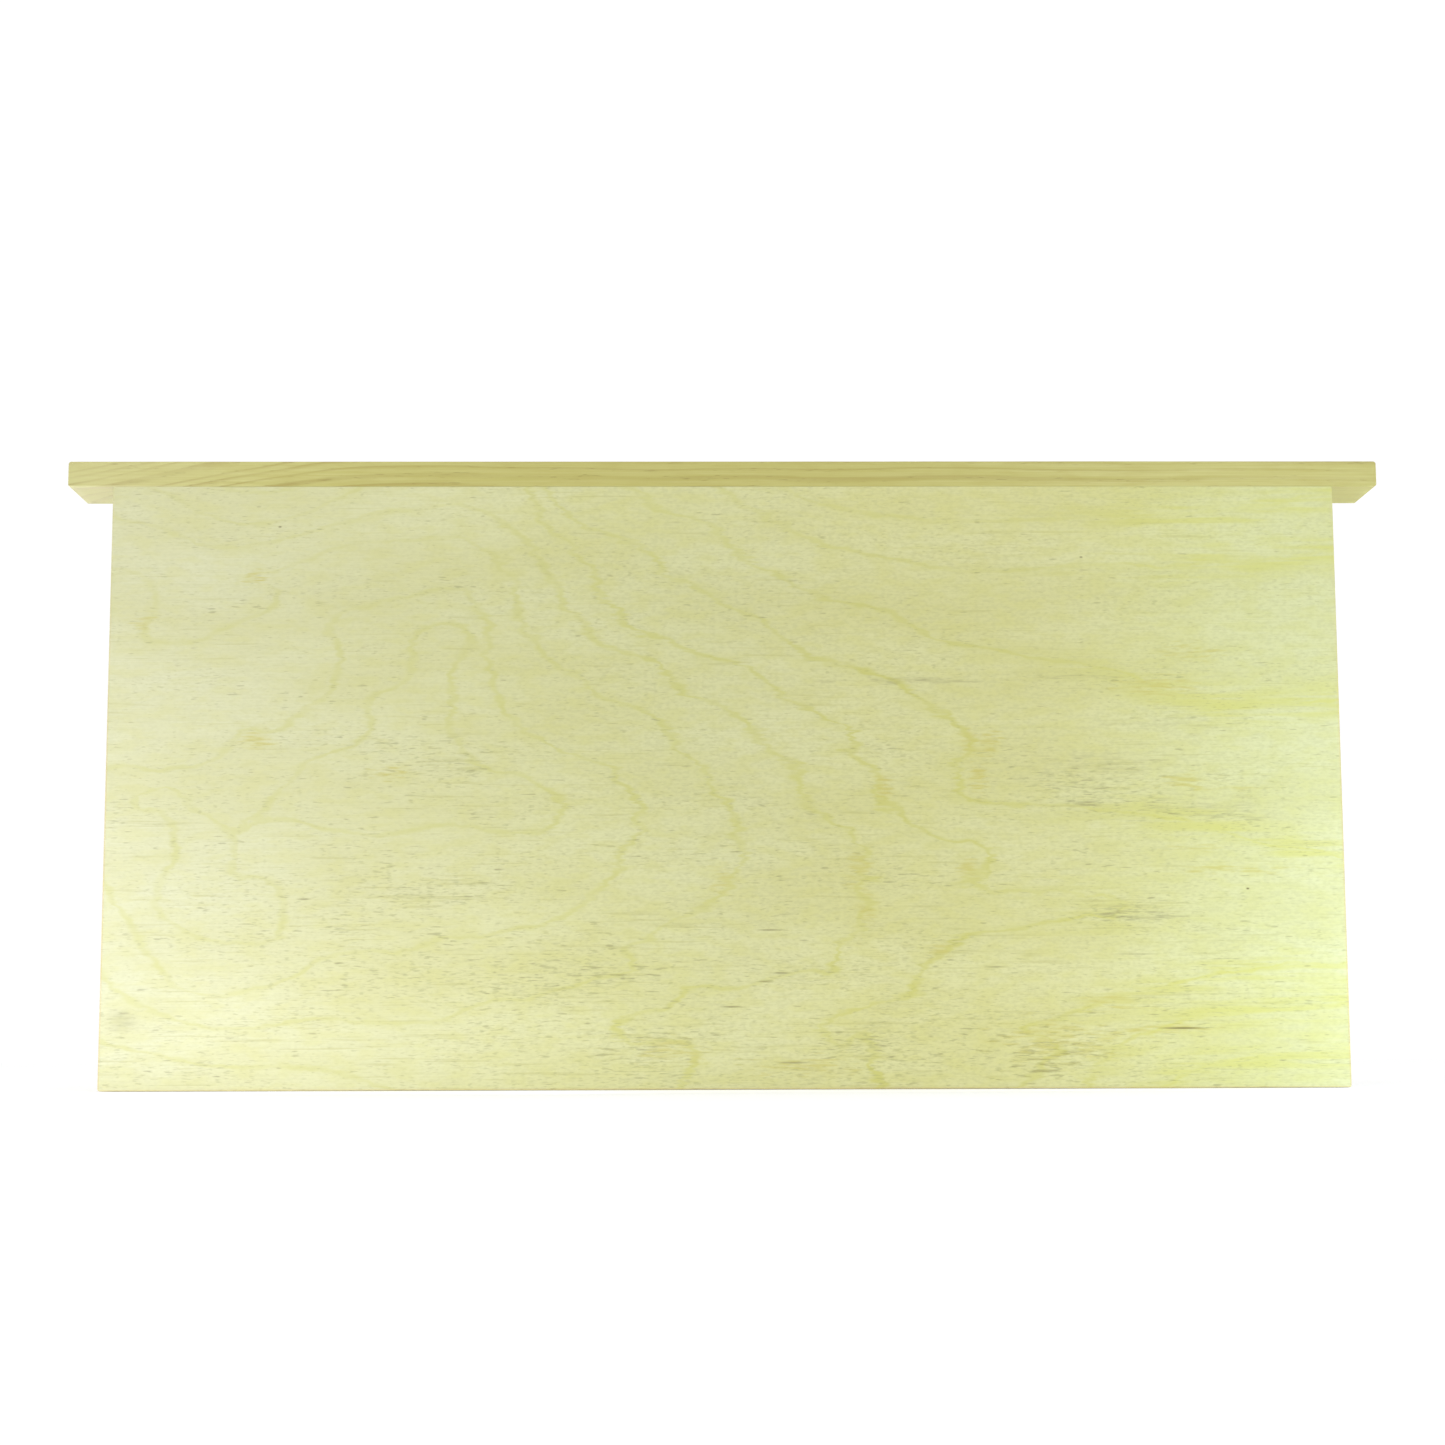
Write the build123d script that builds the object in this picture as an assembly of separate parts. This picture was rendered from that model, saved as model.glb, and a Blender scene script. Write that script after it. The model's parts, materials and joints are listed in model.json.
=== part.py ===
from build123d import *
import os

# Division board for a beehive, hanging as it does in the hive.
# +Z is up, +X runs along the top bar and -Y is the side that the panel is flush with.
# The origin is on the underside of the top bar, which is the face that the lugs rest
# on, midway between the lugs and halfway through the bar's depth.

# Driving dimensions, in millimetres.
BAR_LENGTH = 482.0
BAR_DEPTH = 30.0
BAR_THICKNESS = 9.5
BAR_ARRIS = 0.4

PANEL_WIDTH = 449.0
PANEL_HEIGHT = 220.0
PANEL_THICKNESS = 9.5
FACE_VENEER_THICKNESS = 1.1

NAIL_COUNT = 5
NAIL_PITCH = 100.0
NAIL_LENGTH = 35.0
NAIL_SHANK_DIAMETER = 1.8
NAIL_HEAD_DIAMETER = 4.0
NAIL_HEAD_THICKNESS = 0.7
NAIL_POINT_LENGTH = 2.6

# The plies between the two face veneers, front to back. Their grain runs up and down
# in the crossbands and along the board in the cores.
INNER_PLIES = [
    "front_crossband",
    "front_core_ply",
    "centre_crossband",
    "back_core_ply",
    "back_crossband",
]

# Worked out from the dimensions above.
PANEL_FRONT_Y = -BAR_DEPTH / 2
PANEL_MIDDLE_Y = PANEL_FRONT_Y + PANEL_THICKNESS / 2
INNER_PLY_THICKNESS = (PANEL_THICKNESS - 2 * FACE_VENEER_THICKNESS) / len(INNER_PLIES)


def make_nail():
    """One flat-head wire nail, point down, with the top of its head at the origin."""
    shank_radius = NAIL_SHANK_DIAMETER / 2
    point_top = NAIL_POINT_LENGTH - NAIL_LENGTH
    profile = Polyline(
        (0, 0),
        (NAIL_HEAD_DIAMETER / 2, 0),
        (NAIL_HEAD_DIAMETER / 2, -NAIL_HEAD_THICKNESS),
        (shank_radius, -NAIL_HEAD_THICKNESS),
        (shank_radius, point_top),
        (0, -NAIL_LENGTH),
        close=True,
    )
    return revolve(Plane.XZ * make_face(profile), Axis.Z)


def make_nails():
    """The row of nails, driven down through the bar into the middle of the panel's edge."""
    nail = make_nail()
    first_x = -NAIL_PITCH * (NAIL_COUNT - 1) / 2
    return [
        Pos(first_x + number * NAIL_PITCH, PANEL_MIDDLE_Y, BAR_THICKNESS) * nail
        for number in range(NAIL_COUNT)
    ]


def make_bar(nails):
    """The top bar, of one section from end to end, with its long arrises eased."""
    bar = Pos(0, 0, BAR_THICKNESS / 2) * Box(BAR_LENGTH, BAR_DEPTH, BAR_THICKNESS)
    bar = chamfer(bar.edges().filter_by(Axis.X), BAR_ARRIS)
    return bar - nails


def make_ply(front_y, thickness, nails):
    """One sheet of the plywood, its front at front_y and its top edge under the bar."""
    sheet = Pos(0, front_y + thickness / 2, -PANEL_HEIGHT / 2) * Box(
        PANEL_WIDTH, thickness, PANEL_HEIGHT
    )
    return sheet - nails


def make_plies(nails):
    """All sheets of the panel by name, from the front face veneer to the back one."""
    plies = {}
    front_y = PANEL_FRONT_Y
    for name in ["front_face_veneer", *INNER_PLIES, "back_face_veneer"]:
        thickness = INNER_PLY_THICKNESS if name in INNER_PLIES else FACE_VENEER_THICKNESS
        plies[name] = make_ply(front_y, thickness, nails)
        front_y += thickness
    return plies


nails = make_nails()
nodes = {
    "top_bar": make_bar(nails),
    **make_plies(nails),
    "top_bar_nails": Compound(children=nails),
}

os.makedirs("parts", exist_ok=True)
for name, shape in nodes.items():
    shape.label = name
    export_step(shape, f"parts/{name}.step")
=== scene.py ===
import json
import math

import bpy
import numpy as np
from mathutils import Matrix, Vector, noise

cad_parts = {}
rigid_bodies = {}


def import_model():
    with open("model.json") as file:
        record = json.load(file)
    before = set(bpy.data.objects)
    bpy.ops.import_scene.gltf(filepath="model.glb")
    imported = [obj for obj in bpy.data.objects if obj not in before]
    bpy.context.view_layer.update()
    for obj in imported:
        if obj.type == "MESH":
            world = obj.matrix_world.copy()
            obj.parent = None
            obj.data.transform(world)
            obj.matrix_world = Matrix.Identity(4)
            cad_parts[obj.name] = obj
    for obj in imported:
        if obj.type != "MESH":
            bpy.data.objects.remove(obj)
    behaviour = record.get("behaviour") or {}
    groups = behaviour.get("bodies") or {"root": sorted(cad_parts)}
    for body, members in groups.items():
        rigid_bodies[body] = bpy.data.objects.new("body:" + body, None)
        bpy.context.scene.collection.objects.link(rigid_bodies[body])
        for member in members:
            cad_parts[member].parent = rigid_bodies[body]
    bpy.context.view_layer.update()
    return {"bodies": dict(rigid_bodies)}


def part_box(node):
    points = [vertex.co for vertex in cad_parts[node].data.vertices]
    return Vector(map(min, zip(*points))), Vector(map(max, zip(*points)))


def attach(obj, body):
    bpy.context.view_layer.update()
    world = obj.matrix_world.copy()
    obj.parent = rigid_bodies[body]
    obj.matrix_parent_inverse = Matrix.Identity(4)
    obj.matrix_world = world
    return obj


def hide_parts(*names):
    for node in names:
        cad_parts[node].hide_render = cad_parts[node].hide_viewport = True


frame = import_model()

# In the frame +Z is up as the board hangs, +X runs along the bar, the flush side faces -Y, and
# z = 0 is the bar's underside. Lengths are in millimetres here and become metres in a mesh.
MM = 0.001
TOUCHING = 1e-6          # two places nearer than this are one
BODY = next(iter(frame["bodies"]))


def node_box(name):
    """A node's lowest and highest corners, in millimetres."""
    low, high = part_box(name)
    return np.array(low) / MM, np.array(high) / MM


BAR_LOW, BAR_HIGH = node_box("top_bar")
FACE_LOW, FACE_HIGH = node_box("front_face_veneer")
BACK_LOW, BACK_HIGH = node_box("back_face_veneer")
NAILS_LOW, NAILS_HIGH = node_box("top_bar_nails")
FLOOR_Z = FACE_LOW[2]
CROSSBANDS = ["front_crossband", "centre_crossband", "back_crossband"]
CORES = ["front_core_ply", "back_core_ply"]

# How far the corners of each outline are rounded, and the long edges eased.
PANEL_CORNER_RADIUS = 1.0
BAR_CORNER_RADIUS = 1.1
BAR_ARRIS = 0.22
VENEER_ARRIS = 0.25
PLY_ARRIS = 0.15

# Mesh cuts: the largest spacing on a veneer's face, on an inner ply, and on the bar's three
# axes, and then the places of a ply's cuts through its thickness.
VENEER_STEP = 3.0
PLY_STEP = 5.0
BAR_STEPS = (5.0, 2.0, 1.2)
PLY_LAYERS = np.array([0, 0.12, 0.5, 0.88, 1])

# The saw wandered this much along the panel's edges and left them this ragged, and the planer
# left the bar's top this wavy.
SAW_WANDER = 0.12
SAW_RAGGEDNESS = 0.05
PLANER_WAVE = 0.06

# The nails: the row's ends and its line come from the frame, and the rest is the nail's own.
NAIL_COUNT = 5
NAIL_TURNS = 24
NAIL_HEAD_RADIUS = (NAILS_HIGH[1] - NAILS_LOW[1]) / 2
NAIL_SHANK_RADIUS = 0.9
NAIL_HEAD_THICKNESS = 0.7
NAIL_POINT_LENGTH = 2.6
NAIL_SINK = 0.05
NAIL_Y = (NAILS_LOW[1] + NAILS_HIGH[1]) / 2
NAIL_XS = np.linspace(NAILS_LOW[0] + NAIL_HEAD_RADIUS, NAILS_HIGH[0] - NAIL_HEAD_RADIUS, NAIL_COUNT)

# The wood round a nail head is pressed down: how far out, over what width, and how deep. Mesh
# cuts lie close together there, and none of the bar's own cuts come nearer than the last value.
PRESSED_REACH = 3.3
PRESSED_SLOPE = 1.2
PRESSED_DEPTH = 0.55
HALF_NAIL_CUTS = np.array([0.6, 1.2, 1.8, 2.2, 2.6, 3.0, 3.6])
NAIL_CUTS = np.concatenate([-HALF_NAIL_CUTS[::-1], [0], HALF_NAIL_CUTS])
NAIL_CLEARANCE = 4.2

# Growth lines of the front veneer, by ring number. Ring 5 is the heart of the figure and the
# numbers fall outwards. Each whole ring shows as dark lines, and a fraction is an unseen guide
# that shapes the field between them. A line is the points it passes through: x from the
# panel's middle, and z down its face.
FRONT_GROWTH_LINES = {
    5.3: [[(-182, -153), (-172, -155)], [(-188, -133)], [(-110, -112), (-130, -112)], [(-106, -66)]],
    5.08: [[(-160, -119)], [(-198, -118)]],
    5: [
        [(-212, -113), (-206, -118), (-199, -124), (-199, -138), (-205, -148), (-203, -157),
         (-194, -164), (-175, -167), (-161, -166), (-160, -155), (-162, -147), (-170, -143),
         (-178, -141), (-178, -134), (-173, -127), (-160, -123), (-146, -126), (-100, -125),
         (-76, -127), (-61, -122), (-60, -115), (-71, -107), (-90, -103), (-98, -94), (-100, -78),
         (-98, -64), (-93, -57), (-97, -52), (-112, -53), (-114, -66), (-124, -77), (-130, -80),
         (-129, -90), (-138, -97), (-152, -102), (-164, -115), (-173, -122), (-182, -125),
         (-190, -121), (-196, -116), (-203, -111)],
    ],
    4.5: [[(-140, -148), (-110, -144)], [(-150, -136)]],
    4: [
        [(-224, -104), (-205, -105), (-192, -104), (-179, -95), (-176, -90), (-163, -90),
         (-150, -81), (-143, -74), (-141, -59), (-144, -50), (-130, -45), (-112, -40), (-100, -38.5),
         (-90, -45), (-87, -60), (-85, -73), (-75, -87), (-63, -97), (-46, -102), (-34, -112),
         (-31, -121), (-36, -136), (-49, -151), (-67, -160), (-88, -165), (-120, -171),
         (-150, -175), (-165, -183), (-185, -186), (-197, -183), (-204, -174), (-216, -158),
         (-224, -147)],
    ],
    3.3: [[(-220, -42)]],
    3.1: [[(-168, -34.5)]],
    3: [
        [(-224, -31), (-213, -34), (-208, -42), (-213, -52), (-205, -58), (-195, -58), (-186, -55),
         (-175, -49), (-165, -45), (-162, -40), (-167, -37), (-178, -35), (-171, -32), (-158, -29),
         (-140, -22), (-120, -20), (-95, -19), (-82, -27), (-76, -43), (-70, -58), (-57, -70),
         (-40, -81), (-24, -88), (-12, -101), (3, -119), (4, -132), (0, -147), (-20, -161),
         (-34, -170), (-34, -178), (-60, -184), (-86, -188), (-104, -195), (-130, -196),
         (-156, -195), (-180, -198), (-200, -194), (-219, -184)],
    ],
    2.85: [[(-173, -41)]],
    2.6: [[(-194, -38), (-190, -47)], [(-84, -212), (-52, -206)]],
    2: [
        [(-224, -11), (-208, -15), (-186, -22), (-160, -20), (-140, -14), (-110, -8), (-90, -9),
         (-82, -14), (-70, -27), (-58, -44), (-45, -57), (-30, -63), (-15, -76), (-5, -80),
         (10, -88), (17, -99), (27, -107), (29, -115), (41, -125), (50, -132), (46, -146),
         (51, -154), (49, -161), (40, -166), (38, -173), (38, -178), (14, -182), (-12, -185),
         (-30, -192), (-38, -197), (-26, -202), (-10, -208), (-12, -213)],
        [(-224, -202), (-206, -206), (-181, -211), (-150, -212), (-130, -216)],
    ],
    1.5: [[(14, -204)]],
    1.12: [[(80, -150), (104, -156)]],
    1.06: [[(124, -154.5), (135, -154)]],
    1: [
        [(-195, -8), (-175, -14), (-155, -10), (-136, -1)],
        [(-71, -2), (-57, -22), (-44, -42), (-30, -55), (-10, -62), (10, -70), (25, -80), (35, -86),
         (45, -90), (46, -99), (55, -108), (57, -116), (67, -119), (68, -124), (88, -130),
         (96, -136), (86, -140), (91, -147), (105, -149), (120, -150), (134, -151.5), (144, -154),
         (134, -157), (124, -159), (104, -163), (85, -167), (75, -173), (68, -184),
         (50, -189), (38, -193), (46, -199), (55, -209), (53, -216)],
    ],
    0.9: [[(97, -142)]],
    0: [
        [(-66, -1), (-58, -10), (-44, -17), (-32, -22), (-22, -32), (-7, -41), (10, -49), (22, -57),
         (40, -66), (66, -74), (80, -84), (88, -90), (89, -100), (83, -107), (90, -115),
         (104, -118), (140, -120), (168, -124), (195, -132), (224, -137)],
        [(224, -176), (189, -178), (156, -185), (135, -189), (112, -198), (118, -206), (108, -216)],
    ],
    -1: [
        [(-33, -1), (-24, -8), (-8, -13), (4, -23), (18, -33), (35, -41), (60, -47), (75, -56),
         (95, -61), (118, -65), (145, -70), (165, -78), (190, -82), (224, -80)],
        [(224, -190), (198, -192), (172, -194), (150, -201), (132, -212)],
    ],
    -2: [[(0, -1), (22, -15), (45, -24), (70, -29), (98, -31), (135, -29), (180, -28), (224, -24)]],
    -3: [[(25, -1), (50, -10), (80, -13), (120, -13), (165, -12), (195, -8), (224, -3)]],
}

# The back veneer comes from a calmer part of the log: two long ovals and straight grain.
BACK_GROWTH_LINES = {
    2: [[(60, -70), (110, -60), (160, -72), (110, -86), (60, -78)]],
    1: [[(20, -74), (70, -52), (130, -46), (190, -60), (224, -66)],
        [(20, -74), (70, -94), (140, -104), (224, -96)],
        [(-170, -168), (-120, -158), (-70, -166), (-120, -176)]],
    0: [[(-224, -88), (-150, -84), (-80, -62), (0, -44), (90, -32), (224, -40)],
        [(-224, -150), (-140, -142), (-50, -152), (20, -134), (120, -126), (224, -124)]],
    -1: [[(-224, -52), (-120, -44), (-30, -24), (70, -14), (224, -18)],
         [(-224, -186), (-140, -190), (-40, -182), (60, -160), (150, -150), (224, -152)]],
    -2: [[(-224, -20), (-130, -16), (-60, -4)],
         [(-60, -214), (40, -192), (130, -176), (224, -178)]],
    -3: [[(90, -212), (160, -202), (224, -204)]],
}


# ---------------------------------------------------------------- growth field of a veneer

def bending(places, centres):
    """The thin plate kernel, r squared times log r, between every place and every centre."""
    squares = ((places[:, None] - centres[None]) ** 2).sum(axis=2)
    return 0.5 * squares * np.log(np.maximum(squares, 1e-9))


def growth_surface(lines, slack=4.0):
    """A smooth function of (x, z) that is near each ring's number along that ring's lines."""
    points = np.array([point for group in lines.values() for line in group for point in line], float)
    rings = np.array([ring for ring, group in lines.items() for line in group for _ in line], float)
    count = len(points)
    plane = np.column_stack([np.ones(count), points])
    system = np.zeros((count + 3, count + 3))
    system[:count, :count] = bending(points, points) + slack * np.eye(count)
    system[:count, count:] = plane
    system[count:, :count] = plane.T
    weights = np.linalg.solve(system, np.append(rings, np.zeros(3)))

    def surface(places):
        flat = np.column_stack([np.ones(len(places)), places])
        return bending(places, points) @ weights[:count] + flat @ weights[count:]

    return surface


def write_growth(mesh, lines, mirror=1.0):
    """Stores each vertex's ring number and its slope along x and z, per millimetre."""
    corners = np.empty(len(mesh.vertices) * 3)
    mesh.vertices.foreach_get("co", corners)
    places = corners.reshape(-1, 3)[:, [0, 2]] / MM * (mirror, 1.0)
    surface = growth_surface(lines)
    step = 0.5
    ring = surface(places)
    slope_x = (surface(places + (step, 0)) - surface(places - (step, 0))) / (2 * step)
    slope_z = (surface(places + (0, step)) - surface(places - (0, step))) / (2 * step)
    growth = np.column_stack([ring, slope_x * mirror, slope_z])
    layer = mesh.attributes.new("growth", "FLOAT_VECTOR", "POINT")
    layer.data.foreach_set("vector", growth.ravel())


# ---------------------------------------------------------------- meshes

def even_cuts(low, high, step):
    """Cuts from low to high, evenly spaced and about a step apart."""
    return np.linspace(low, high, max(2, round((high - low) / step) + 1))


def rim_cuts(low, high, step, rim):
    """Even cuts with closer ones inside each end, for an eased edge and a rounded corner."""
    near = rim * np.array([0, 0.4, 1, 2])
    inner = even_cuts(low + 4 * rim, high - 4 * rim, step)
    return np.concatenate([low + near, inner, high - near[::-1]])


def box_grid(xs, ys, zs):
    """A closed box: its corners, with one at each crossing of the cuts, and its faces."""
    index, corners, faces = {}, [], []

    def corner(*key):
        if key not in index:
            index[key] = len(corners)
            corners.append((xs[key[0]], ys[key[1]], zs[key[2]]))
        return index[key]

    cuts = (len(xs), len(ys), len(zs))
    for axis in range(3):
        across, along = (axis + 1) % 3, (axis + 2) % 3
        for side in (0, cuts[axis] - 1):
            for a in range(cuts[across] - 1):
                for b in range(cuts[along] - 1):
                    ring = []
                    for step_a, step_b in ((0, 0), (1, 0), (1, 1), (0, 1)):
                        key = [0, 0, 0]
                        key[axis], key[across], key[along] = side, a + step_a, b + step_b
                        ring.append(corner(*key))
                    faces.append(ring if side else ring[::-1])
    return np.array(corners), faces


def rounded(corners, inner_low, inner_high):
    """Draws corners outside an inner box in, from a square rim round it to a round one."""
    core = np.clip(corners, inner_low, inner_high)
    out = corners - core
    reach = np.linalg.norm(out, axis=1)
    longest = np.abs(out).max(axis=1)
    scale = np.where(reach > 1e-9, longest / np.maximum(reach, 1e-9), 1.0)
    return core + out * scale[:, None]


def ease(corners, low, high, radius, soft_low=(1, 1, 1), soft_high=(1, 1, 1)):
    """Rounds the arrises of a box. A side whose entry is 0 keeps its edges sharp."""
    return rounded(corners, low + radius * np.array(soft_low), high - radius * np.array(soft_high))


def round_corner(corners, low, high, radius, feet_only):
    """Rounds the box's outline, seen from the front, at its foot or at all four corners."""
    inner_top = np.inf if feet_only else high[2] - radius
    inner_low = np.array([low[0] + radius, -np.inf, low[2] + radius])
    inner_high = np.array([high[0] - radius, np.inf, inner_top])
    return rounded(corners, inner_low, inner_high)


def ripple(corners, size, shift=0.0):
    """Smooth noise from -1 to 1 at each corner, with waves of about the given size."""
    places = corners / np.broadcast_to(size, 3) + shift
    return np.array([noise.noise(Vector(place)) for place in places])


def make_mesh(name, corners, faces, smooth_angle=30):
    """A mesh object from corners in millimetres, smooth except over sharp edges."""
    mesh = bpy.data.meshes.new(name)
    mesh.from_pydata((np.asarray(corners) * MM).tolist(), [], faces)
    mesh.validate()
    piece = bpy.data.objects.new(name, mesh)
    bpy.context.scene.collection.objects.link(piece)
    mesh.shade_smooth()
    mesh.set_sharp_from_angle(angle=math.radians(smooth_angle))
    return piece


def place(piece, node, slot, material):
    """Gives a piece its material and its body, and hides the node that it stands for."""
    piece.data.materials.clear()
    piece.data.materials.append(material)
    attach(piece, BODY)
    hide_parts(node)


# ---------------------------------------------------------------- material tools

def srgb(red, green, blue):
    """A colour given as 0 to 255 screen values, as the linear values that a shader takes."""
    linear = [c / 12.92 if c <= 0.04045 else ((c + 0.055) / 1.055) ** 2.4
              for c in (red / 255, green / 255, blue / 255)]
    return (*linear, 1.0)


class Wood:
    """One procedural material. Each method adds nodes and returns the last one's output."""

    def __init__(self, name):
        self.material = bpy.data.materials.new(name)
        self.material.use_nodes = True
        self.tree = self.material.node_tree
        self.surface = self.tree.nodes["Principled BSDF"]
        metres = self.add("ShaderNodeTexCoord", {}, "Object")
        self.place = self.vector("SCALE", metres, Scale=1 / MM)
        self.x, self.y, self.z = self.split(self.place)

    def add(self, kind, inputs, output=0, **settings):
        """Adds a node. Each input is a number, a tuple or another node's output."""
        node = self.tree.nodes.new(kind)
        for name, value in settings.items():
            setattr(node, name, value)
        for slot, value in inputs.items():
            if isinstance(value, bpy.types.NodeSocket):
                self.tree.links.new(value, node.inputs[slot])
            else:
                node.inputs[slot].default_value = value
        return node.outputs[output]

    def math(self, operation, *values, clamp=False):
        return self.add("ShaderNodeMath", dict(enumerate(values)), operation=operation, use_clamp=clamp)

    def vector(self, operation, *values, output="Vector", **named):
        inputs = {**dict(enumerate(values)), **named}
        return self.add("ShaderNodeVectorMath", inputs, output, operation=operation)

    def split(self, vector):
        node = self.add("ShaderNodeSeparateXYZ", {0: vector}).node
        return node.outputs[0], node.outputs[1], node.outputs[2]

    def plus(self, first, *others):
        for other in others:
            first = self.math("ADD", first, other)
        return first

    def minus(self, first, *others):
        for other in others:
            first = self.math("SUBTRACT", first, other)
        return first

    def times(self, first, *others, clamp=False):
        for other in others:
            first = self.math("MULTIPLY", first, other, clamp=clamp)
        return first

    def hypotenuse(self, first, second):
        return self.math("SQRT", self.plus(self.times(first, first), self.times(second, second)))

    def ramp(self, value, start, end, low=0.0, high=1.0):
        """Goes smoothly from low at start to high at end."""
        inputs = {"Value": value, "From Min": start, "From Max": end, "To Min": low, "To Max": high}
        return self.add("ShaderNodeMapRange", inputs, interpolation_type="SMOOTHSTEP", clamp=True)

    def noise(self, size, detail=2.0, seed=0.0):
        """Noise about 0.5, with features of the given size in millimetres along x, y and z."""
        stretch = tuple(1 / length for length in size)
        shift = (seed, seed * 1.7, seed * 0.6)
        spot = self.vector("MULTIPLY_ADD", self.place, stretch, shift)
        return self.add("ShaderNodeTexNoise", {"Vector": spot, "Scale": 1.0, "Detail": detail})

    def swing(self, size, reach, detail=2.0, seed=0.0):
        """Noise about 0 that reaches about plus and minus the given amount."""
        return self.times(self.minus(self.noise(size, detail, seed), 0.5), 4 * reach)

    def mix(self, factor, first, second, blend="MIX"):
        inputs = {0: factor, 6: first, 7: second}
        return self.add("ShaderNodeMix", inputs, 2, data_type="RGBA", blend_type=blend)

    def tinted(self, colour, tint):
        return self.mix(1.0, colour, tint, "MULTIPLY")

    def along(self, axis):
        """How squarely the surface faces along an axis, from 0 to 1."""
        normal = self.add("ShaderNodeNewGeometry", {}, "True Normal")
        return self.math("ABSOLUTE", self.split(normal)["xyz".index(axis)])

    def facing(self, axis):
        """1 on a face that looks along an axis and 0 on the others."""
        return self.ramp(self.along(axis), 0.5, 0.9)

    def blemish(self, spot, reach, torn=0.0):
        """1 at a spot (x, z) of the face, falling to 0 at its reach. Torn adds to the distance."""
        offset = self.vector("SUBTRACT", self.place, (spot[0], 0.0, spot[1]))
        scaled = self.vector("MULTIPLY", offset, (1 / reach[0], 0.0, 1 / reach[1]))
        distance = self.vector("LENGTH", scaled, output="Value")
        return self.ramp(self.plus(distance, torn), 1.0, 0.1)

    def finish(self, colour, roughness, height, depth):
        """Joins the colour, the roughness and a height field, whose depth is in millimetres."""
        bump = self.add("ShaderNodeBump", {"Height": height, "Distance": depth * MM})
        self.tree.links.new(colour, self.surface.inputs["Base Color"])
        self.tree.links.new(roughness, self.surface.inputs["Roughness"])
        self.tree.links.new(bump, self.surface.inputs["Normal"])
        self.surface.inputs["Specular IOR Level"].default_value = 0.3
        return self.material


# The colours of the marks and checks on a face.
GREY_BROWN = srgb(156, 150, 108)
WARM_BROWN = srgb(200, 193, 113)
DARK_BROWN = srgb(104, 92, 50)

# Each wood's colours are multiplied by its tint, which sets how light the whole wood is.
FRONT_TINT = (0.815, 0.825, 0.865, 1.0)
BACK_TINT = (0.81, 0.80, 0.83, 1.0)
PINE_TINT = (0.91, 0.915, 0.89, 1.0)


# ---------------------------------------------------------------- rotary-cut veneer

def shifted_ring(wood, ring, slope_x, slope_z):
    """The ring number that shows at a spot, once small waves in the log have moved the lines.

    The knife crosses the rings at a flat angle, so a small wave moves a line a lot along the
    grain. The lines step sideways there, and stay smooth where they run with the grain.
    """
    broad = wood.swing((30, 9, 9), 4.2, 2.0, 3.1)
    short = wood.swing((10, 9, 2.6), 2.4, 2.0, 7.7)
    jagged = wood.swing((14, 9, 0.9), 1.3, 1.0, 15.3)
    calmer_left = wood.ramp(wood.x, -150.0, -10.0, 0.40, 1.0)
    aside = wood.times(wood.plus(broad, short, jagged), calmer_left)
    rise = wood.plus(wood.swing((22, 9, 12), 1.1, 2.0, 5.2), wood.swing((5, 9, 2.2), 0.5, 2.0, 9.4))
    return wood.plus(ring, wood.times(aside, slope_x), wood.times(rise, slope_z))


def line_weight(wood, rank, crossing):
    """How strongly a line shows: in patches, most on the strongest ring, and less near the top."""
    patches = wood.ramp(wood.noise((24, 9, 9), 3.0, 13.9), 0.34, 0.68, 0.45, 1.0)
    by_rank = wood.ramp(rank, 3.5, 0.0, 0.78, 1.15)
    by_crossing = wood.math("MULTIPLY_ADD", crossing, 0.16, 0.94)
    across = wood.ramp(wood.x, -150.0, 0.0, 0.82, 1.12)
    down = wood.ramp(wood.z, 0.0, -85.0, 0.60, 1.0)
    return wood.times(patches, by_rank, by_crossing, across, down)


def growth_lines(wood, strongest):
    """How dark the veneer is from its growth lines: each one's thin core and its soft halo."""
    attribute = wood.add("ShaderNodeAttribute", {}, "Vector", attribute_name="growth")
    ring, slope_x, slope_z = wood.split(attribute)
    moved = shifted_ring(wood, ring, slope_x, slope_z)
    nearest = wood.math("ROUND", moved)
    # Where the rings lie nearly flat a line would be endlessly wide, so a least slope is taken.
    steepness = wood.math("MAXIMUM", wood.hypotenuse(slope_x, slope_z), 0.012)
    offset = wood.math("DIVIDE", wood.minus(moved, nearest), steepness)
    away = wood.math("ABSOLUTE", offset)

    # A line is widest and darkest where it crosses the grain.
    crossing = wood.math("DIVIDE", wood.math("ABSOLUTE", slope_x), steepness)
    crossing = wood.ramp(crossing, 0.30, 0.95)
    width = wood.math("MULTIPLY_ADD", wood.noise((9, 9, 4), 3.0, 11.3), 2.3, 0.05)
    width = wood.times(width, wood.math("MULTIPLY_ADD", crossing, 0.85, 0.90))
    core = wood.ramp(wood.math("DIVIDE", away, width), 1.15, 0.10)
    halo = wood.times(wood.ramp(offset, 5.5, 0.0), wood.ramp(offset, -3.2, 0.0))
    rank = wood.math("ABSOLUTE", wood.minus(nearest, strongest))
    weight = line_weight(wood, rank, crossing)
    core = wood.times(core, weight, wood.ramp(wood.x, 90.0, 200.0, 1.0, 0.65))

    # Towards the right the knife runs with the rings, and a line spreads into soft streaks.
    strands = wood.ramp(wood.noise((46, 9, 2.8), 2.0, 17.3), 0.40, 0.64)
    spread = wood.times(wood.ramp(away, 11.0, 0.0), strands, wood.ramp(wood.x, 50.0, 170.0))
    return wood.math("MAXIMUM", core, wood.times(spread, 0.68)), wood.times(halo, weight)


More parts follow.
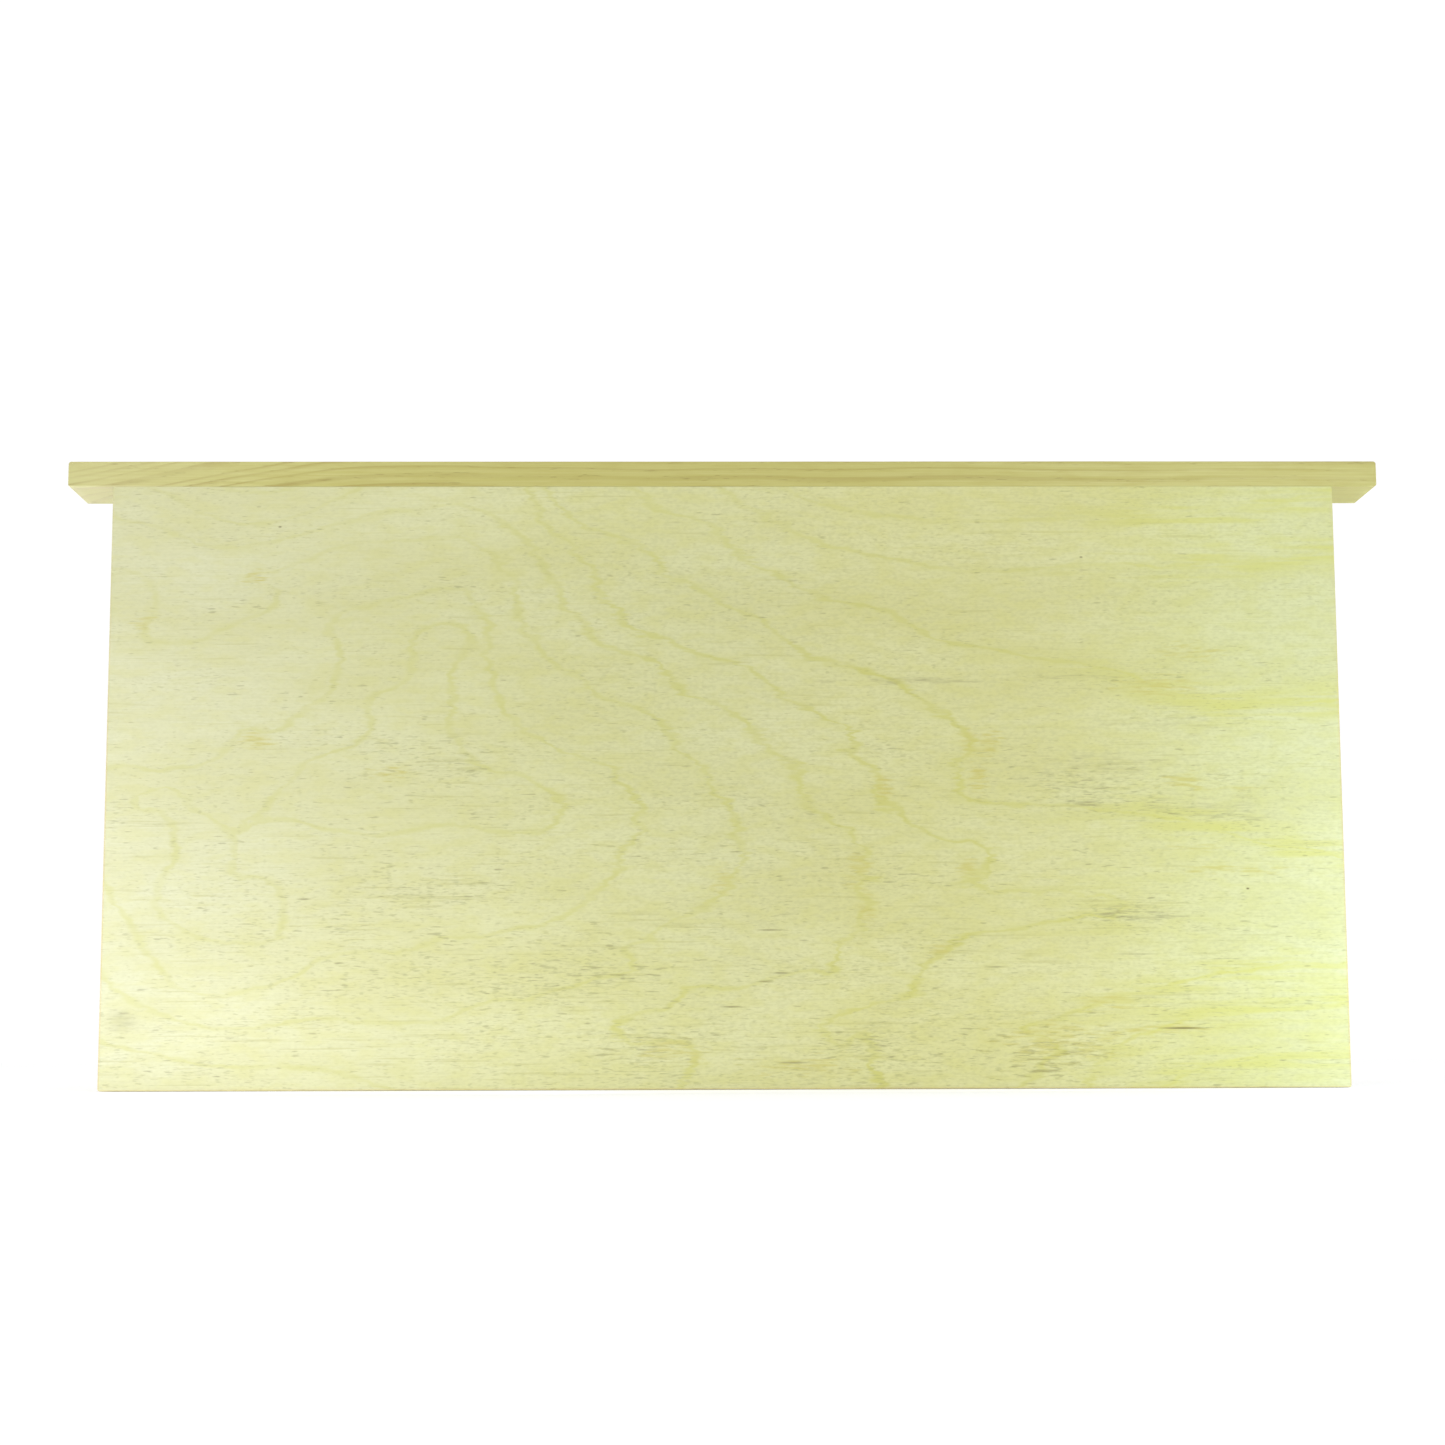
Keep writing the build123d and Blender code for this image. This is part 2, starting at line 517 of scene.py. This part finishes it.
def veneer_ground(wood):
    """The veneer between its lines: its colour and its fibres."""
    cloud = wood.noise((75, 9, 22), 4.0, 21.0)
    fibre = wood.noise((30, 9, 0.40), 4.0, 1.0)
    nap = wood.noise((1.8, 9, 0.9), 2.0, 2.0)
    dapple = wood.noise((11, 9, 4.0), 2.0, 61.0)
    napped = wood.times(wood.ramp(nap, 0.38, 0.70), wood.ramp(wood.x, -130.0, -30.0, 0.18, 0.32))
    colour = wood.mix(wood.ramp(cloud, 0.33, 0.68), srgb(216, 215, 160), srgb(211, 209, 147))
    colour = wood.mix(wood.ramp(fibre, 0.36, 0.66, 0.0, 0.22), colour, srgb(196, 195, 136))
    colour = wood.mix(napped, colour, srgb(184, 183, 132))
    colour = wood.mix(wood.ramp(dapple, 0.40, 0.68, 0.0, 0.30), colour, srgb(205, 202, 120))
    return colour, fibre


def pore_flecks(wood, size, start, reach, seed, crowding):
    """Short dark dashes along the grain, as open pores show on a peeled face, in drifts."""
    drift = wood.ramp(wood.noise((46, 9, 11), 3.0, seed + 2.2), 0.32, 0.68, -0.07, 0.02)
    level = wood.plus(wood.noise(size, 1.5, seed), drift, crowding)
    return wood.ramp(level, start, start + reach)


def crowded(wood, places, torn):
    """How much thicker the pores lie than elsewhere: towards the foot and round the places."""
    total = wood.ramp(wood.z, -40.0, -200.0, -0.026, 0.006)
    for spot, reach in places:
        total = wood.math("MULTIPLY_ADD", wood.blemish(spot, reach, torn), 0.072, total)
    return total


def add_pores(wood, colour, places, torn):
    """The colour with its pores, and the holes that the pores make."""
    crowding = crowded(wood, places, torn)
    fine = pore_flecks(wood, (3.0, 9, 0.55), 0.55, 0.17, 31.0, crowding)
    coarse = pore_flecks(wood, (5.6, 9, 0.75), 0.63, 0.12, 37.0, crowding)
    streaks = pore_flecks(wood, (26, 9, 0.9), 0.60, 0.14, 43.0, crowding)
    colour = wood.mix(wood.times(streaks, 0.30), colour, srgb(176, 172, 104))
    colour = wood.mix(wood.times(fine, 0.33), colour, srgb(150, 148, 100))
    colour = wood.mix(wood.times(coarse, 0.36), colour, srgb(128, 122, 80))
    return colour, wood.math("MAXIMUM", fine, coarse)


def add_marks(wood, colour, marks, torn):
    """The colour with its stains, which are torn at their edges and streaky inside."""
    streaky = wood.ramp(wood.noise((9, 9, 0.9), 2.0, 51.0), 0.40, 0.60, 0.2, 1.0)
    for spot, reach, stain, amount in marks:
        mark = wood.times(wood.blemish(spot, reach, torn), streaky, 1.7 * amount, clamp=True)
        colour = wood.mix(mark, colour, stain)
    return colour


def add_checks(wood, colour, holes, checks):
    """The colour with its small checks, and the holes with theirs."""
    for spot, reach, amount in checks:
        check = wood.blemish(spot, reach)
        colour = wood.mix(wood.times(check, amount), colour, DARK_BROWN)
        holes = wood.math("MAXIMUM", holes, check)
    return colour, holes


def sheet_cast_and_painted_light(wood):
    """The sheet's slow change: less yellow to the left and greener to the right, with painted light that
    makes it paler on top.
    """
    # Painted light: the top of the face is made up to 5 per cent paler.
    light = wood.ramp(wood.z, -45.0, 0.0, 1.0, 1.05)
    green = wood.times(
        wood.ramp(wood.x, -20.0, 60.0, 1.0, 0.988),
        wood.ramp(wood.x, 110.0, 215.0, 1.0, 1.042))
    blue = wood.times(
        wood.ramp(wood.x, -40.0, -225.0, 1.0, 1.15),
        wood.ramp(wood.x, 0.0, 55.0, 1.0, 0.915),
        wood.ramp(wood.x, 150.0, 220.0, 1.0, 1.08))
    channels = {0: light, 1: wood.times(green, light), 2: wood.times(blue, light)}
    return wood.add("ShaderNodeCombineXYZ", channels)


def sawn_rim(wood, colour):
    """The colour with a thin brownish line round the face, stronger towards the foot, and its darker cut
    edges.
    """
    from_side = wood.minus(FACE_HIGH[0], wood.math("ABSOLUTE", wood.x))
    from_foot = wood.minus(wood.z, FACE_LOW[2])
    # A thin brownish line inside the face's sides and foot, darker towards the foot.
    rim_line = wood.ramp(wood.math("MINIMUM", from_side, from_foot), 0.9, 0.2)
    rim_line = wood.times(rim_line, wood.ramp(wood.z, -20.0, -120.0, 0.1, 0.45))
    end = wood.facing("x")
    edge = wood.math("MAXIMUM", end, wood.facing("z"))
    colour = wood.mix(rim_line, colour, srgb(186, 160, 108))
    colour = wood.mix(wood.times(edge, 0.55), colour, srgb(176, 158, 98))
    return wood.mix(wood.times(end, 0.35), colour, srgb(140, 118, 66))


def veneer(name, tint, strongest, marks, checks, pore_places):
    """A sanded peeled veneer: growth lines, pores, soft brown stains and fine fibres."""
    wood = Wood(name)
    torn = wood.swing((8, 9, 1.2), 0.9, 3.0, 5.0)
    core, halo = growth_lines(wood, strongest)
    line_colour = wood.mix(wood.ramp(wood.x, 110.0, 190.0), srgb(201, 199, 120), srgb(207, 204, 103))
    colour, fibre = veneer_ground(wood)
    colour = wood.mix(wood.times(halo, 0.40), colour, srgb(206, 205, 142))
    colour = wood.mix(wood.times(core, 0.90), colour, line_colour)
    colour, holes = add_pores(wood, colour, pore_places, torn)
    colour = add_marks(wood, colour, marks, torn)
    colour, holes = add_checks(wood, colour, holes, checks)
    # The sheet's cast also carries painted light, which makes the top of the face paler.
    colour = wood.tinted(wood.tinted(colour, tint), sheet_cast_and_painted_light(wood))
    colour = sawn_rim(wood, colour)
    roughness = wood.ramp(wood.plus(fibre, wood.times(core, 0.2)), 0.3, 0.8, 0.56, 0.72)
    height = wood.minus(wood.times(fibre, 0.5), holes)
    return wood.finish(colour, roughness, height, 0.05)


# ---------------------------------------------------------------- the other materials

def ply_edge(name, grain, seed):
    """An inner ply, seen at the sawn edges: end grain across its grain and fibres along it."""
    wood = Wood(name)
    long_size = (24, 0.5, 0.4) if grain == "x" else (0.4, 0.5, 24)
    fibre = wood.noise(long_size, 3.0, seed)
    pores = wood.ramp(wood.noise((0.5, 0.35, 0.5), 2.0, seed + 3), 0.52, 0.70)
    waves = wood.noise((30, 9, 30), 2.0, seed + 5)
    end = wood.facing(grain)
    glue = wood.add("ShaderNodeAttribute", {}, "Fac", attribute_name="glue")

    side_colour = wood.mix(wood.ramp(fibre, 0.35, 0.65), srgb(206, 196, 136), srgb(184, 168, 104))
    end_colour = wood.mix(wood.times(pores, 0.7), srgb(168, 144, 84), srgb(112, 88, 46))
    colour = wood.mix(end, side_colour, end_colour)
    colour = wood.mix(wood.ramp(waves, 0.4, 0.7, 0.0, 0.4), colour, srgb(150, 122, 66))
    colour = wood.mix(wood.ramp(glue, 0.3, 1.0, 0.0, 0.75), colour, srgb(96, 70, 38))
    roughness = wood.ramp(fibre, 0.3, 0.7, 0.70, 0.86)
    height = wood.minus(fibre, wood.times(pores, end))
    return wood.finish(colour, roughness, height, 0.10)


def pine_rings(wood):
    """The rings of the bar's log: how far through its year each spot grew, and how dark it is.

    The log's heart lies below and behind the bar. It climbs towards the left third of the bar,
    so the rings slant up there and run straight along the rest.
    """
    climb = wood.ramp(wood.x, -292.0, -128.0, -26.0, 0.0)
    dip = wood.ramp(wood.x, -135.0, -70.0, 0.0, -1.2)
    heave = wood.plus(wood.swing((90, 40, 40), 1.0, 1.0, 2.0), wood.swing((40, 9, 6), 0.25, 2.0, 4.0))
    behind = wood.minus(wood.y, 24.0)
    above = wood.plus(wood.minus(wood.z, climb, dip), 60.0)
    year_width = 2.75
    ring = wood.math("DIVIDE", wood.plus(wood.hypotenuse(behind, above), heave), year_width)
    along_years = {"W": ring, "Scale": 0.45, "Detail": 1.0}
    wander = wood.add("ShaderNodeTexNoise", along_years, noise_dimensions="1D")
    year = wood.math("FRACT", wood.plus(ring, wood.times(wander, 1.1)))
    latewood = wood.times(wood.ramp(year, 0.45, 0.86), wood.ramp(year, 1.0, 0.88))
    strength = wood.ramp(wood.noise((130, 12, 5.0), 2.0, 6.0), 0.32, 0.66, 0.35, 1.0)
    figured = wood.ramp(wood.x, -70.0, -130.0, 0.50, 0.85)
    return year, wood.times(latewood, strength, figured)


def pine_side(wood, fibre, dark, ducts):
    """The colour of the bar's long faces, with painted light and painted shade on the lugs' undersides.
    """
    mottle = wood.noise((12, 3, 2.2), 3.0, 26.0)
    warm_middle = wood.times(
        wood.ramp(wood.x, -190.0, -90.0, 0.3, 1.0),
        wood.ramp(wood.x, 40.0, 160.0, 1.0, 0.35))
    colour = wood.mix(wood.ramp(fibre, 0.34, 0.66), srgb(200, 196, 132), srgb(192, 187, 117))
    colour = wood.mix(wood.times(warm_middle, 0.55), colour, srgb(181, 173, 97))
    colour = wood.mix(wood.ramp(mottle, 0.42, 0.72, 0.0, 0.30), colour, srgb(178, 167, 94))
    colour = wood.mix(wood.times(dark, 0.72), colour, srgb(158, 139, 70))
    colour = wood.mix(wood.ramp(wood.x, -150.0, -240.0, 0.0, 0.35), colour, srgb(205, 201, 152))

    # Painted light makes the underside pale at the left lug, and painted shade makes it darker at the
    # right one.
    under = wood.ramp(wood.z, 0.8, 0.1)
    painted_light_left_lug = wood.times(under, wood.ramp(wood.x, -180.0, -225.0, 0.0, 0.32))
    painted_shade_right_lug = wood.times(under, wood.ramp(wood.x, 180.0, 225.0, 0.0, 0.45))
    colour = wood.mix(painted_light_left_lug, colour, srgb(232, 227, 186))
    colour = wood.mix(painted_shade_right_lug, colour, srgb(174, 166, 90))
    return wood.mix(wood.times(ducts, 0.4), colour, srgb(140, 118, 60))


def pine(name):
    """Planed pine, with the log's rings running through the solid wood and out of each face."""
    wood = Wood(name)
    year, dark = pine_rings(wood)
    fibre = wood.noise((40, 0.45, 0.45), 4.0, 8.0)
    duct_spots = wood.ramp(wood.noise((5.0, 0.30, 0.30), 1.0, 12.0), 0.66, 0.76)
    ducts = wood.times(duct_spots, wood.ramp(year, 0.3, 0.7))
    end = wood.facing("x")
    pits = wood.ramp(wood.noise((9, 0.28, 0.28), 2.0, 16.0), 0.48, 0.70)
    kerf = wood.noise((9, 12, 0.25), 2.0, 18.0)
    end_colour = wood.mix(wood.times(dark, 0.9), srgb(188, 168, 100), srgb(134, 104, 46))
    end_colour = wood.mix(wood.times(pits, 0.45), end_colour, srgb(120, 94, 50))
    colour = wood.mix(end, pine_side(wood, fibre, dark, ducts), end_colour)
    colour = wood.tinted(colour, PINE_TINT)

    roughness = wood.ramp(wood.minus(fibre, wood.times(dark, 0.25)), 0.1, 0.7, 0.48, 0.68)
    grain = wood.plus(wood.times(dark, 0.6), wood.times(fibre, 0.5))
    sawn = wood.times(end, wood.plus(kerf, pits))
    return wood.finish(colour, roughness, wood.minus(grain, ducts, sawn), 0.07)


def nail_steel(name):
    """Bright drawn wire, dulled a little, with fine scratches."""
    wood = Wood(name)
    haze = wood.noise((1.2, 1.2, 1.2), 3.0, 3.0)
    scratch = wood.noise((0.12, 2.5, 0.5), 2.0, 9.0)
    colour = wood.mix(wood.ramp(haze, 0.35, 0.65), srgb(178, 178, 180), srgb(150, 148, 144))
    colour = wood.mix(wood.ramp(scratch, 0.6, 0.75, 0.0, 0.5), colour, srgb(104, 98, 90))
    wood.surface.inputs["Metallic"].default_value = 1.0
    roughness = wood.ramp(haze, 0.3, 0.7, 0.30, 0.46)
    return wood.finish(colour, roughness, scratch, 0.02)


# ---------------------------------------------------------------- pieces

def saw_inset(corners):
    """How far the saw cut inside the panel's edge, alike on all the plies, and how raggedly."""
    wander = SAW_WANDER * (1 + ripple(corners * (1, 0, 1), 70.0, 3.0))
    ragged = SAW_RAGGEDNESS * (1 + ripple(corners, (2.5, 0.8, 2.5), 8.0))
    return wander + ragged


def make_sheet(name, low, high, step, rim, eased_low, eased_high, lines=None, mirror=1.0):
    """One ply, a little ragged at its edges. Its low or high face is eased if it is an outer one."""
    xs = rim_cuts(low[0], high[0], step, rim)
    zs = rim_cuts(low[2], high[2], step, rim)
    thickness = high[1] - low[1]
    corners, faces = box_grid(xs, low[1] + thickness * PLY_LAYERS, zs)
    glue = np.abs(corners[:, 1] - (low[1] + high[1]) / 2) / (thickness / 2)

    inset = saw_inset(corners)
    at_left = corners[:, 0] < low[0] + TOUCHING
    at_right = corners[:, 0] > high[0] - TOUCHING
    at_foot = corners[:, 2] < low[2] + TOUCHING
    corners = ease(corners, low, high, rim, (1, eased_low, 1), (1, eased_high, 0))
    corners = round_corner(corners, low, high, PANEL_CORNER_RADIUS, feet_only=True)
    corners[at_left, 0] += inset[at_left]
    corners[at_right, 0] -= inset[at_right]
    corners[at_foot, 2] += inset[at_foot]

    piece = make_mesh(name, corners, faces)
    layer = piece.data.attributes.new("glue", "FLOAT", "POINT")
    layer.data.foreach_set("value", glue)
    if lines:
        write_growth(piece.data, lines, mirror)
    return piece


def cuts_round_nails(cuts, nails):
    """An axis's cuts, with close ones round each nail in place of any that lie near it."""
    clear = np.abs(cuts[:, None] - nails).min(axis=1) > NAIL_CLEARANCE
    near = [nail + NAIL_CUTS for nail in nails]
    return np.sort(np.concatenate([cuts[clear], *near]))


def make_bar():
    """The top bar, its wood pressed down a little around each nail head."""
    long_cuts, deep_cuts, high_cuts = (
        rim_cuts(BAR_LOW[axis], BAR_HIGH[axis], BAR_STEPS[axis], BAR_ARRIS) for axis in range(3))
    xs = cuts_round_nails(long_cuts, NAIL_XS)
    ys = cuts_round_nails(deep_cuts, [NAIL_Y])
    # No cut lies between the front arris and the nails' own cuts.
    ys = ys[(ys <= BAR_LOW[1] + BAR_ARRIS) | (ys >= NAIL_Y + NAIL_CUTS[0])]
    corners, faces = box_grid(xs, ys, high_cuts)

    on_top = corners[:, 2] > BAR_HIGH[2] - TOUCHING
    from_nail = np.hypot(np.abs(corners[:, :1] - NAIL_XS).min(axis=1), corners[:, 1] - NAIL_Y)
    pressed = np.clip((PRESSED_REACH - from_nail) / PRESSED_SLOPE, 0, 1)
    wavy = PLANER_WAVE * (1 + ripple(corners, (40, 10, 10), 5.0))
    sunk = PRESSED_DEPTH * pressed ** 2 * (3 - 2 * pressed) + wavy
    corners = ease(corners, BAR_LOW, BAR_HIGH, BAR_ARRIS)
    corners = round_corner(corners, BAR_LOW, BAR_HIGH, BAR_CORNER_RADIUS, feet_only=False)
    corners[on_top, 2] -= sunk[on_top]
    return make_mesh("pine_top_bar", corners, faces)


def nail_section():
    """Half a nail's section as (radius, z), from the middle of its head to its point."""
    head_z = BAR_HIGH[2] - NAIL_SINK
    under_head = head_z - NAIL_HEAD_THICKNESS
    tip_z = NAILS_LOW[2]
    return [
        (0.0, head_z - 0.03),
        (NAIL_HEAD_RADIUS * 0.55, head_z),
        (NAIL_HEAD_RADIUS * 0.88, head_z - 0.02),
        (NAIL_HEAD_RADIUS * 0.98, head_z - 0.14),
        (NAIL_HEAD_RADIUS, head_z - 0.35),
        (NAIL_HEAD_RADIUS * 0.94, under_head),
        (NAIL_SHANK_RADIUS * 1.25, under_head - 0.05),
        (NAIL_SHANK_RADIUS, under_head - 0.45),
        (NAIL_SHANK_RADIUS, tip_z + NAIL_POINT_LENGTH),
        (NAIL_SHANK_RADIUS * 0.45, tip_z + NAIL_POINT_LENGTH * 0.4),
        (0.0, tip_z),
    ]


def turned(section, middle_x, middle_y, turns):
    """The corners and faces of a half section turned about an upright line."""
    corners = [(middle_x, middle_y, section[0][1])]
    for radius, z in section[1:-1]:
        for turn in range(turns):
            angle = math.tau * turn / turns
            corners.append((middle_x + radius * math.cos(angle), middle_y + radius * math.sin(angle), z))
    corners.append((middle_x, middle_y, section[-1][1]))

    faces = []
    rows = [1 + row * turns for row in range(len(section) - 2)]
    point = len(corners) - 1
    for turn in range(turns):
        after = (turn + 1) % turns
        faces.append([0, rows[0] + turn, rows[0] + after])
        for upper, lower in zip(rows, rows[1:]):
            faces.append([upper + turn, lower + turn, lower + after, upper + after])
        faces.append([rows[-1] + turn, point, rows[-1] + after])
    return corners, faces


def make_nails():
    """Flat-head wire nails in a row."""
    corners, faces = [], []
    for nail_x in NAIL_XS:
        nail_corners, nail_faces = turned(nail_section(), nail_x, NAIL_Y, NAIL_TURNS)
        faces += [[len(corners) + corner for corner in face] for face in nail_faces]
        corners += nail_corners
    return make_mesh("wire_nails", corners, faces, smooth_angle=40)


# Marks on a face: place (x, z), reach, colour and how strong it is.
FRONT_MARKS = [
    ((-216, -195), (6.5, 5), GREY_BROWN, 0.12),
    ((176, -119), (34, 5), GREY_BROWN, 0.14),
    ((140, -104), (40, 7), GREY_BROWN, 0.12),
    ((160, -88), (30, 5), GREY_BROWN, 0.10),
    ((158, -199.4), (20, 2.4), WARM_BROWN, 0.5),
    ((68, -72.3), (30, 1.5), GREY_BROWN, 0.28),
    ((128, -71), (20, 0.8), GREY_BROWN, 0.22),
    ((143, -157), (11, 2.8), GREY_BROWN, 0.24),
    ((158, -158.5), (9, 2.0), GREY_BROWN, 0.22),
    ((131, -117.5), (9, 1.8), GREY_BROWN, 0.30),
    ((184, -122), (22, 1.6), GREY_BROWN, 0.14),
    ((96, -95), (6, 5), WARM_BROWN, 0.60),
    ((89, -95), (5, 7), WARM_BROWN, 0.45),
    ((92, -108), (5, 6), WARM_BROWN, 0.60),
    ((57, -112), (4, 5), WARM_BROWN, 0.55),
    ((87, -141), (5, 5), WARM_BROWN, 0.50),
    ((76, -170), (5, 4), WARM_BROWN, 0.45),
    ((48, -141), (5, 8), WARM_BROWN, 0.45),
    ((50, -157), (4, 6), WARM_BROWN, 0.45),
    ((-1, -145), (5, 6), WARM_BROWN, 0.40),
    ((158, -75), (16, 4.5), WARM_BROWN, 0.55),
    ((171, -62), (12, 4), WARM_BROWN, 0.50),
    ((166, -109), (11, 3.5), WARM_BROWN, 0.50),
    ((184, -112), (16, 1.6), WARM_BROWN, 0.40),
    ((168, -134), (12, 2), WARM_BROWN, 0.40),
    ((182, -141.5), (24, 1.8), WARM_BROWN, 0.50),
    ((118, -203), (26, 9), WARM_BROWN, 0.40),
    ((140, -189), (14, 3), WARM_BROWN, 0.45),
    ((30, -212), (22, 4), WARM_BROWN, 0.45),
    ((-20, -206), (18, 5), WARM_BROWN, 0.40),
    ((-170, -94), (7, 4), WARM_BROWN, 0.55),
    ((-172, -34), (6, 2.6), WARM_BROWN, 0.60),
    ((-212, -50), (5, 4), WARM_BROWN, 0.45),
    ((-122, -105.5), (7, 3), WARM_BROWN, 0.75),
]
# Small checks, where the knife opened the grain, and a knot under the face: place, reach and
# how dark.
FRONT_CHECKS = [
    ((164, -198.6), (12, 0.55), 0.80),
    ((72, -72), (14, 0.55), 0.12),
    ((16, -163), (7, 0.55), 0.50),
    ((20, -178.5), (5, 0.55), 0.50),
    ((14, -181.5), (4, 0.55), 0.45),
    ((2, -190.5), (6, 0.55), 0.55),
    ((24, -210.5), (9, 0.55), 0.45),
    ((97, -176.5), (6, 0.55), 0.40),
    ((148, -172), (12, 0.55), 0.25),
    ((-152, -151.5), (3.5, 0.55), 0.50),
    ((-139, -174.5), (2.5, 0.55), 0.45),
    ((-82, -141), (2.5, 0.55), 0.40),
    ((189, -148.5), (0.9, 0.55), 0.90),
    ((131, -26.5), (0.9, 0.55), 0.70),
    ((-163, -15), (1.0, 0.55), 0.70),
    ((-216, -195), (7.5, 6), 0.12),
]
FRONT_PORE_PLACES = [
    ((-25, -205), (30, 12)),
    ((148, -158), (28, 8)),
    ((120, -206), (34, 12)),
    ((112, -209), (24, 10)),
    ((-120, -153), (36, 16)),
    ((-112, -102), (40, 15)),
    ((142, -112), (54, 12)),
    ((-60, -180), (52, 20)),
    ((50, -205), (34, 12)),
]
BACK_MARKS = [
    ((-60, -118), (7, 5), GREY_BROWN, 0.4),
    ((-150, -60), (26, 9), WARM_BROWN, 0.35),
    ((112, -76), (30, 4), WARM_BROWN, 0.35),
]
BACK_CHECKS = [
    ((120, -170), (14, 0.55), 0.5),
    ((-30, -90), (6, 0.55), 0.4),
    ((-176, -31), (5, 0.55), 0.4),
    ((66, -200), (8, 0.55), 0.45),
]
BACK_PORE_PLACES = [((100, -120), (70, 24)), ((-120, -190), (60, 20))]


def make_veneers():
    """The two outer plies, each with its own figure. The back one's is laid out as seen from behind."""
    front = make_sheet(
        "front_veneer", FACE_LOW, FACE_HIGH, VENEER_STEP, VENEER_ARRIS, 1, 0, FRONT_GROWTH_LINES)
    front_wood = veneer(
        "front_veneer_wood", FRONT_TINT, 0, FRONT_MARKS, FRONT_CHECKS, FRONT_PORE_PLACES)
    place(front, "front_face_veneer", "face_veneer", front_wood)
    back = make_sheet(
        "back_veneer", BACK_LOW, BACK_HIGH, VENEER_STEP, VENEER_ARRIS, 0, 1, BACK_GROWTH_LINES, -1.0)
    back_wood = veneer("back_veneer_wood", BACK_TINT, 1, BACK_MARKS, BACK_CHECKS, BACK_PORE_PLACES)
    place(back, "back_face_veneer", "back_veneer", back_wood)


def make_inner_plies():
    """The plies between the veneers, of which only the sawn edges show."""
    for names, grain, seed, slot in (
            (CROSSBANDS, "z", 8.0, "cross_grain_ply"),
            (CORES, "x", 4.0, "long_grain_ply")):
        wood = ply_edge(slot + "_wood", grain, seed)
        for name in names:
            low, high = node_box(name)
            sheet = make_sheet(name + "_sheet", low, high, PLY_STEP, PLY_ARRIS, 0, 0)
            place(sheet, name, slot, wood)


# ---------------------------------------------------------------- stage, light and camera

def make_floor():
    """A wide pale floor that the board stands on."""
    half = 12000.0
    corners = [(x * half, y * half, FLOOR_Z) for x, y in ((-1, -1), (1, -1), (1, 1), (-1, 1))]
    floor = make_mesh("floor", corners, [[0, 1, 2, 3]])
    paper = bpy.data.materials.new("floor_paper")
    paper.use_nodes = True
    surface = paper.node_tree.nodes["Principled BSDF"]
    surface.inputs["Base Color"].default_value = (0.97, 0.97, 0.97, 1.0)
    surface.inputs["Roughness"].default_value = 0.9
    surface.inputs["Specular IOR Level"].default_value = 0.0
    floor.data.materials.append(paper)


def make_world():
    """An even white surround, a little brighter than the floor that it lights."""
    world = bpy.data.worlds.new("surround")
    world.use_nodes = True
    surround = world.node_tree.nodes["Background"]
    surround.inputs["Color"].default_value = (1, 1, 1, 1)
    surround.inputs["Strength"].default_value = 1.03
    bpy.context.scene.world = world


def make_light(name, at, towards, width, height, watts, colour=(1, 1, 1)):
    """A soft rectangular lamp that the camera doesn't see. Places and sizes are in millimetres."""
    data = bpy.data.lights.new(name, "AREA")
    data.shape = "RECTANGLE"
    data.size, data.size_y = width * MM, height * MM
    data.energy = watts
    data.color = colour
    lamp = bpy.data.objects.new(name, data)
    lamp.location = Vector(at) * MM
    lamp.rotation_euler = (Vector(towards) - Vector(at)).to_track_quat("-Z", "Y").to_euler()
    lamp.visible_camera = False
    bpy.context.scene.collection.objects.link(lamp)


def make_lights():
    """A high key lamp, and small low ones that brighten the panel's foot and lower corners."""
    make_light("key", (-500, -1500, 1300), (0, 0, -100), 1200, 900, 3)
    make_light("low_left", (-376, -130, -203), (-240, -15, -203), 200, 32, 0.46, (0.81, 0.83, 1.08))
    make_light("low_middle", (-130, -90, -205), (-105, -15, -206), 160, 20, 0.025, (0.86, 0.86, 1.0))
    make_light("low_centre", (60, -75, -205), (60, -15, -212), 300, 20, 0.014)
    make_light("low_right", (380, -105, -202), (240, -15, -203), 200, 32, 0.54, (0.75, 0.86, 1.22))


def make_camera():
    """Low and square on to the front face, looking up a little."""
    at, aim = Vector((-13.9, -963.8, -209.0)), Vector((-1.0, -15.0, -87.6))
    roll = math.radians(0.19)
    data = bpy.data.cameras.new("camera")
    data.lens, data.sensor_width = 65.47, 36.0
    data.clip_start, data.clip_end = 0.01, 100.0
    camera = bpy.data.objects.new("camera", data)
    turn = (aim - at).to_track_quat("-Z", "Y").to_matrix() @ Matrix.Rotation(-roll, 3, "Z")
    camera.matrix_world = Matrix.Translation(at * MM) @ turn.to_4x4()
    bpy.context.scene.collection.objects.link(camera)
    bpy.context.scene.camera = camera


make_veneers()
make_inner_plies()
place(make_bar(), "top_bar", "pine_bar", pine("pine_wood"))
place(make_nails(), "top_bar_nails", "nail_steel", nail_steel("nail_wire"))
make_floor()
make_world()
make_lights()
make_camera()
bpy.context.scene.view_settings.view_transform = "Standard"
